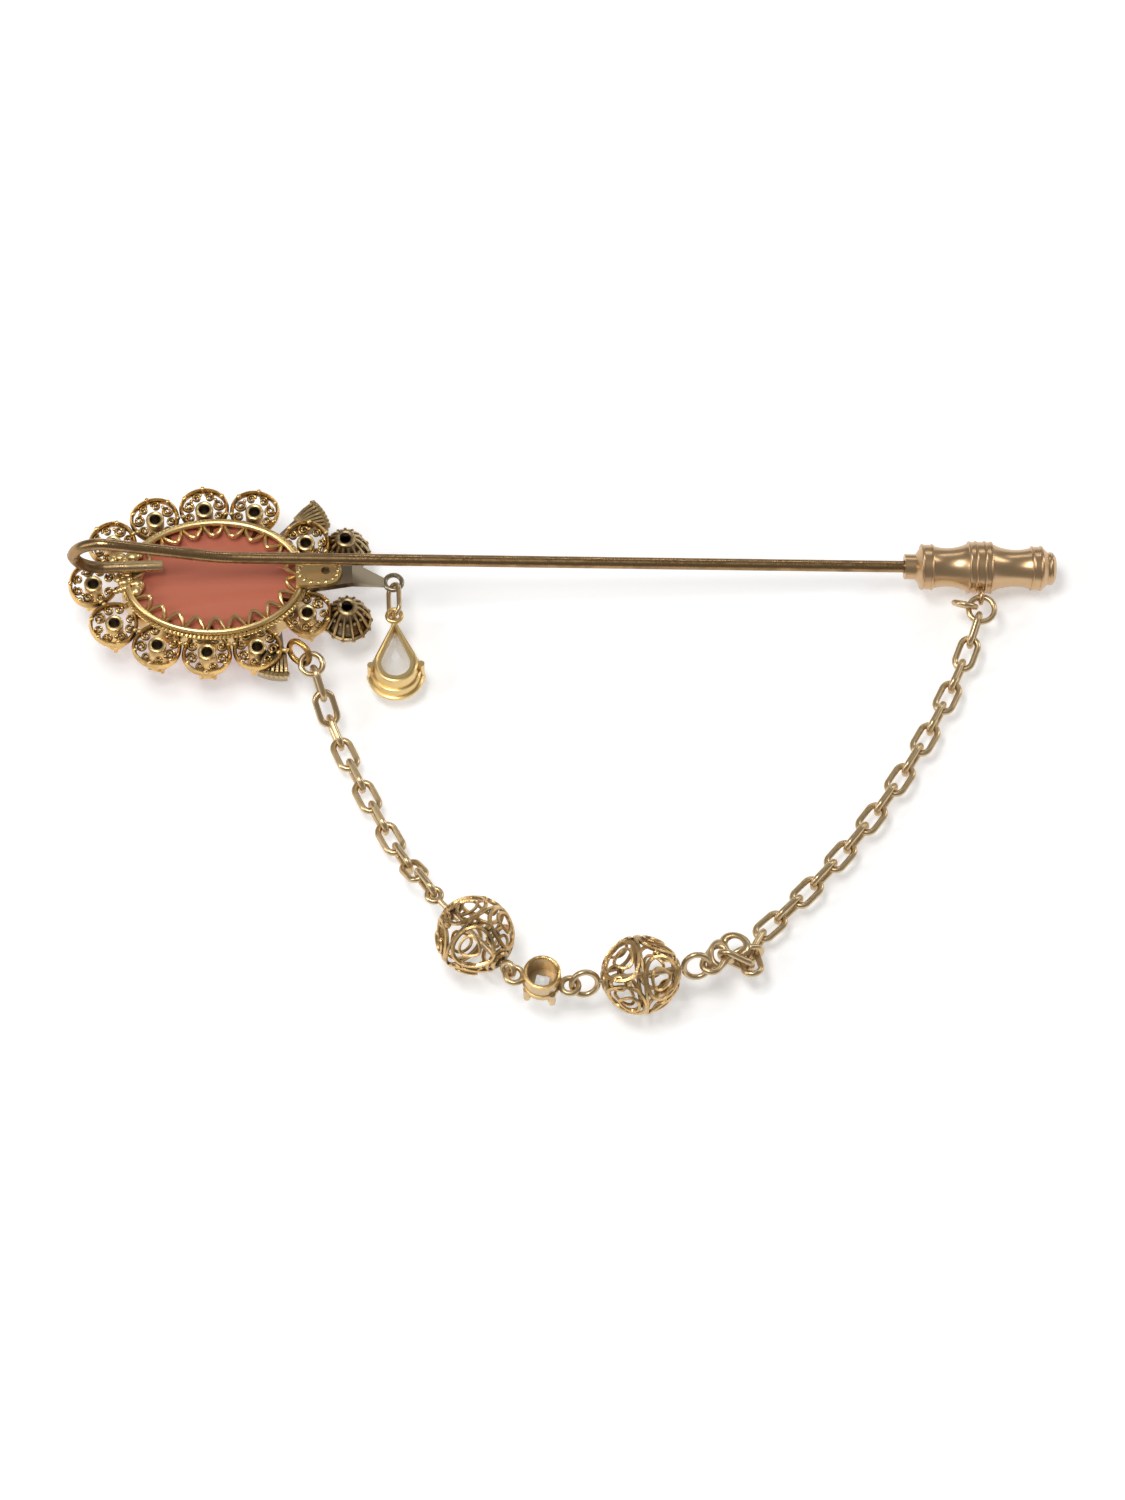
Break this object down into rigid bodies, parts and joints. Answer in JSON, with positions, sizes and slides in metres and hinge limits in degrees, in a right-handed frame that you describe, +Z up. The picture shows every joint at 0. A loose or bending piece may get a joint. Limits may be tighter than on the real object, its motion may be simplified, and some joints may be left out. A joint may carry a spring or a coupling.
{
  "type": "hat pin",
  "caption": "Jewelled hat pin lying face down: oval cabochon head with filigree petals, hooked pin wire, clutch cap, chain with beads and a pear drop.",
  "frame": {"origin": "middle of the underside of the whole pin as it lies face down", "axes": "+X along the pin towards the cap, +Z up from the surface, which is towards the back of the jewel"},
  "size_m": [0.0994, 0.0596, 0.0132],
  "materials": {
    "bright_gold": "polished, lightly antiqued",
    "antique_gold": "antiqued satin",
    "copper_gold": "antiqued, polished",
    "dark_bronze": "oxidised",
    "coral_stone": "polished",
    "crystal": "cut and polished",
    "grip_steel": "plain"
  },
  "bodies": {
    "head": {"cabochon": "coral_stone", "gallery_strip": "bright_gold", "bezel_wire": "bright_gold", "petal_frames": "bright_gold", "petal_scrolls": "bright_gold", "chaton_cups": "bright_gold", "chaton_crystals": "crystal", "rosette_cups": "dark_bronze", "rosette_crystals": "crystal", "shell_cups": "dark_bronze", "pendant_arm": "dark_bronze", "solder_plate": "bright_gold", "chain_eye": "bright_gold", "pin_wire": "antique_gold"},
    "cap": {"cap_body": "copper_gold", "cap_liner": "grip_steel", "cap_eye": "copper_gold"},
    "chain_ring": {"chain_ring": "antique_gold"},
    "left_chain_upper": {"left_link_01": "antique_gold", "left_link_02": "antique_gold", "left_link_03": "antique_gold", "left_link_04": "antique_gold", "left_link_05": "antique_gold"},
    "left_chain_lower": {"left_link_06": "antique_gold", "left_link_07": "antique_gold", "left_link_08": "antique_gold", "left_link_09": "antique_gold", "left_link_10": "antique_gold", "left_link_11": "antique_gold"},
    "bead_1": {"bead_1_shell": "antique_gold", "bead_1_wire": "antique_gold"},
    "connector": {"connector_setting": "bright_gold", "connector_crystal": "crystal"},
    "bead_2": {"bead_2_shell": "antique_gold", "bead_2_wire": "antique_gold", "knot_links": "antique_gold"},
    "right_chain_lower": {"right_link_01": "antique_gold", "right_link_02": "antique_gold", "right_link_03": "antique_gold", "right_link_04": "antique_gold", "right_link_05": "antique_gold", "right_link_06": "antique_gold", "right_link_07": "antique_gold", "right_link_08": "antique_gold"},
    "right_chain_upper": {"right_link_09": "antique_gold", "right_link_10": "antique_gold", "right_link_11": "antique_gold", "right_link_12": "antique_gold", "right_link_13": "antique_gold", "right_link_14": "antique_gold", "right_link_15": "antique_gold", "right_link_16": "antique_gold"},
    "cap_ring": {"cap_ring": "antique_gold", "cap_ring_spare": "antique_gold"},
    "bail_link": {"bail_link": "antique_gold"},
    "drop": {"drop_setting": "bright_gold", "drop_crystal": "crystal"}
  },
  "joints": [
    {"name": "cap_slide", "type": "slide", "parent": "head", "child": "cap", "axis": [0.9962, 0, -0.0872], "range_m": [0, 0.0068]},
    {"name": "chain_swing", "type": "hinge", "parent": "head", "child": "chain_ring", "pos_m": [-0.02653, 0.01059, 0.00522], "axis": [-0.996, -0.0817, 0.0364], "range_deg": [0, 30]},
    {"name": "left_chain_upper_turn", "type": "hinge", "parent": "chain_ring", "child": "left_chain_upper", "pos_m": [-0.02547, 0.00953, 0.00491], "axis": [0.0872, 0, 0.9962], "range_deg": [-0.01, 1.63]},
    {"name": "left_chain_lower_turn", "type": "hinge", "parent": "left_chain_upper", "child": "left_chain_lower", "pos_m": [-0.02066, -0.00296, 0.00122], "axis": [0.0872, 0, 0.9962], "range_deg": [-0.01, 4.09]},
    {"name": "bead_1_turn", "type": "hinge", "parent": "left_chain_lower", "child": "bead_1", "pos_m": [-0.01396, -0.01634, 0.00402], "axis": [0.0872, 0, 0.9962], "range_deg": [-0.01, 2.66]},
    {"name": "connector_turn", "type": "hinge", "parent": "bead_1", "child": "connector", "pos_m": [-0.00633, -0.02544, 0.00402], "axis": [0.0872, 0, 0.9962], "range_deg": [-4.62, 0.01]},
    {"name": "bead_2_turn", "type": "hinge", "parent": "connector", "child": "bead_2", "pos_m": [-0.00089, -0.02679, 0.00402], "axis": [0.0872, 0, 0.9962], "range_deg": [-4.47, 0.01]},
    {"name": "right_chain_lower_turn", "type": "hinge", "parent": "bead_2", "child": "right_chain_lower", "pos_m": [0.01859, -0.02003, 0.00124], "axis": [0.0872, 0, 0.9962], "range_deg": [-1.42, 0.01]},
    {"name": "right_chain_upper_turn", "type": "hinge", "parent": "right_chain_lower", "child": "right_chain_upper", "pos_m": [0.03237, -0.0042, 0.00122], "axis": [0.0872, 0, 0.9962], "range_deg": [-7.01, 0.01]},
    {"name": "cap_ring_turn", "type": "hinge", "parent": "right_chain_upper", "child": "cap_ring", "pos_m": [0.04189, 0.01484, 0.00251], "axis": [0.0872, 0, 0.9962], "range_deg": [-0.01, 9.15]},
    {"name": "bail_swing", "type": "hinge", "parent": "head", "child": "bail_link", "pos_m": [-0.01707, 0.01913, 0.00391], "axis": [0, 0, 1], "range_deg": [0, 45]},
    {"name": "drop_tilt", "type": "hinge", "parent": "bail_link", "child": "drop", "pos_m": [-0.01707, 0.01625, 0.00391], "axis": [-0.766, 0, 0.6428], "range_deg": [0, 40]}
  ],
  "couplings": [
    {"joint": "left_chain_upper_turn", "follows": "cap_slide", "rad_per_m": 4.1516},
    {"joint": "left_chain_lower_turn", "follows": "cap_slide", "rad_per_m": 10.465},
    {"joint": "bead_1_turn", "follows": "cap_slide", "rad_per_m": 6.8022},
    {"joint": "connector_turn", "follows": "cap_slide", "rad_per_m": -11.833},
    {"joint": "bead_2_turn", "follows": "cap_slide", "rad_per_m": -11.454},
    {"joint": "right_chain_lower_turn", "follows": "cap_slide", "rad_per_m": -3.6094},
    {"joint": "right_chain_upper_turn", "follows": "cap_slide", "rad_per_m": -17.977},
    {"joint": "cap_ring_turn", "follows": "cap_slide", "rad_per_m": 23.454}
  ]
}
